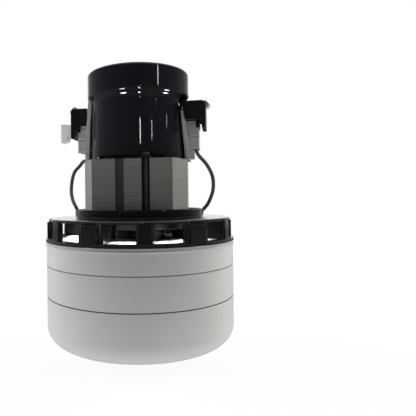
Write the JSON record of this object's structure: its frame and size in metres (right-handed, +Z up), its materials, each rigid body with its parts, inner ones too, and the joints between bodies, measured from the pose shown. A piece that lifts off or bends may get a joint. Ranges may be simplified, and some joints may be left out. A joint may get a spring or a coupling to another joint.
{
  "type": "vacuum motor unit",
  "caption": "Vacuum motor unit: pale stacked fan shells with an intake tube below, a black windowed exhaust ring and a brush motor under a black fan cover.",
  "frame": {"origin": "centre of the intake tube's mouth, on the shaft's axis", "axes": "+Z up the shaft towards the fan cover, +X along the brushes away from the supply connector"},
  "size_m": [0.146, 0.146, 0.2312],
  "materials": {
    "shell_paint": "satin",
    "zinc_sheet": "satin",
    "fan_aluminium": "satin",
    "black_gloss": "gloss",
    "black_satin": "satin",
    "lamination": "satin",
    "winding": "gloss",
    "bright_steel": "bright",
    "dark_steel": "satin",
    "holder_grey": "satin",
    "brass": "bright",
    "carbon": "matte",
    "nylon": "satin",
    "lead_cover": "satin"
  },
  "bodies": {
    "motor": {"intake_tube": "zinc_sheet", "intake_shell": "shell_paint", "middle_shell": "shell_paint", "upper_shell": "shell_paint", "stage_plate_1": "zinc_sheet", "stage_plate_2": "zinc_sheet", "outlet_plate": "zinc_sheet", "exhaust_bracket": "black_gloss", "lower_bearing_outer": "bright_steel", "bearing_retainer": "zinc_sheet", "retainer_screws": "bright_steel", "field_core": "lamination", "field_coil_front": "winding", "field_coil_back": "winding", "through_bolts": "dark_steel", "commutator_bracket": "black_satin", "upper_bearing_outer": "bright_steel", "fan_cover": "black_gloss", "brush_holder_right": "holder_grey", "brush_holder_left": "holder_grey", "brush_tube_right": "brass", "brush_tube_left": "brass", "brush_cap_right": "brass", "brush_cap_left": "brass", "brush_spring_right": "dark_steel", "brush_spring_left": "dark_steel", "clamp_screws": "bright_steel", "supply_connector": "nylon", "supply_blade": "brass", "lead_right": "lead_cover", "lead_left": "lead_cover"},
    "rotor": {"shaft": "bright_steel", "lower_bearing_inner": "bright_steel", "upper_bearing_inner": "bright_steel", "armature_core": "lamination", "armature_winding": "winding", "commutator_hub": "carbon", "commutator_bars": "winding", "cooling_fan": "nylon", "cooling_fan_nut": "bright_steel", "impeller_1": "fan_aluminium", "impeller_2": "fan_aluminium", "impeller_3": "fan_aluminium", "fan_spacers": "fan_aluminium", "fan_washer": "bright_steel", "fan_nut": "bright_steel"},
    "lower_cage": {"lower_bearing_balls": "bright_steel", "lower_bearing_cage": "brass"},
    "upper_cage": {"upper_bearing_balls": "bright_steel", "upper_bearing_cage": "brass"},
    "brush_right": {"brush_right": "carbon"},
    "brush_left": {"brush_left": "carbon"}
  },
  "joints": [
    {"name": "rotor_spin", "type": "hinge", "parent": "motor", "child": "rotor", "pos_m": [0, 0, 0.12], "axis": [0, 0, 1], "continuous": true},
    {"name": "lower_cage_spin", "type": "hinge", "parent": "motor", "child": "lower_cage", "pos_m": [0, 0, 0.1106], "axis": [0, 0, 1], "continuous": true},
    {"name": "upper_cage_spin", "type": "hinge", "parent": "motor", "child": "upper_cage", "pos_m": [0, 0, 0.1985], "axis": [0, 0, 1], "continuous": true},
    {"name": "brush_right_slide", "type": "slide", "parent": "motor", "child": "brush_right", "axis": [1, 0, 0], "range_m": [0, 0.006], "stiffness_N_per_m": 150, "springref_m": -0.01, "deforming": ["brush_spring_right"]},
    {"name": "brush_left_slide", "type": "slide", "parent": "motor", "child": "brush_left", "axis": [-1, 0, 0], "range_m": [0, 0.006], "stiffness_N_per_m": 150, "springref_m": -0.01, "deforming": ["brush_spring_left"]}
  ],
  "couplings": [
    {"joint": "lower_cage_spin", "follows": "rotor_spin", "ratio": 0.3648},
    {"joint": "upper_cage_spin", "follows": "rotor_spin", "ratio": 0.3677}
  ]
}
